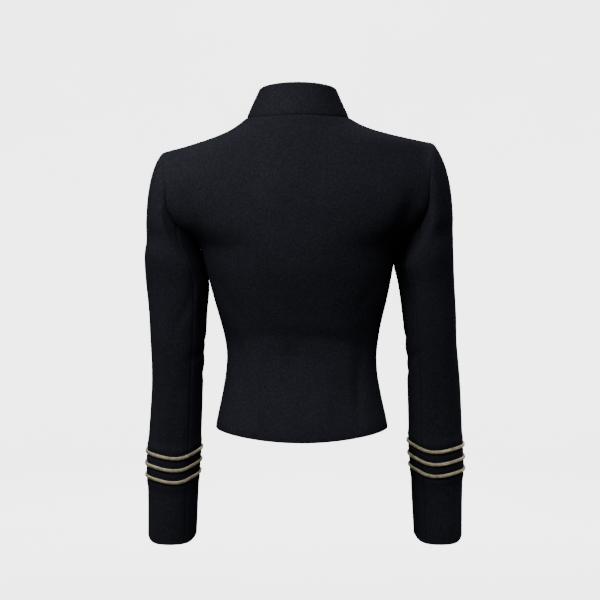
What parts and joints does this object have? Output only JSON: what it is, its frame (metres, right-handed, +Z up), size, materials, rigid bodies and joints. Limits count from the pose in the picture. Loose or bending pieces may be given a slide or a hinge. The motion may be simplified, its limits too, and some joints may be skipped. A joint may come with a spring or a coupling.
{
  "type": "stand-collar jacket",
  "caption": "Cropped, fitted, long-sleeved dark jacket with a stand collar and gold cord braid round each cuff, hollow and shaped as it is when worn.",
  "frame": {"origin": "middle of the neck base, at the height where the shoulder seams meet the collar; the wearer's shoulders hold the jacket up there", "axes": "+Z up along the wearer's height, -Y towards the front of the jacket, +Y towards its back, +X towards the wearer's left"},
  "size_m": [0.4911, 0.2202, 0.6948],
  "materials": {
    "jacket_cloth": "near-black fine wool crepe with a soft, low sheen",
    "cuff_braid": "twisted cord of dull gold thread",
    "front_buttons": "plain dark buttons with a soft shine"
  },
  "bodies": {
    "root": {"back": "jacket_cloth", "front_left": "jacket_cloth", "front_right": "jacket_cloth", "collar": "jacket_cloth", "sleeve_left_top": "jacket_cloth", "sleeve_left_under": "jacket_cloth", "sleeve_right_top": "jacket_cloth", "sleeve_right_under": "jacket_cloth", "braid_left_1": "cuff_braid", "braid_left_2": "cuff_braid", "braid_left_3": "cuff_braid", "braid_right_1": "cuff_braid", "braid_right_2": "cuff_braid", "braid_right_3": "cuff_braid", "button_1": "front_buttons", "button_2": "front_buttons", "button_3": "front_buttons", "button_4": "front_buttons", "button_5": "front_buttons", "button_6": "front_buttons", "button_7": "front_buttons"}
  },
  "joints": []
}
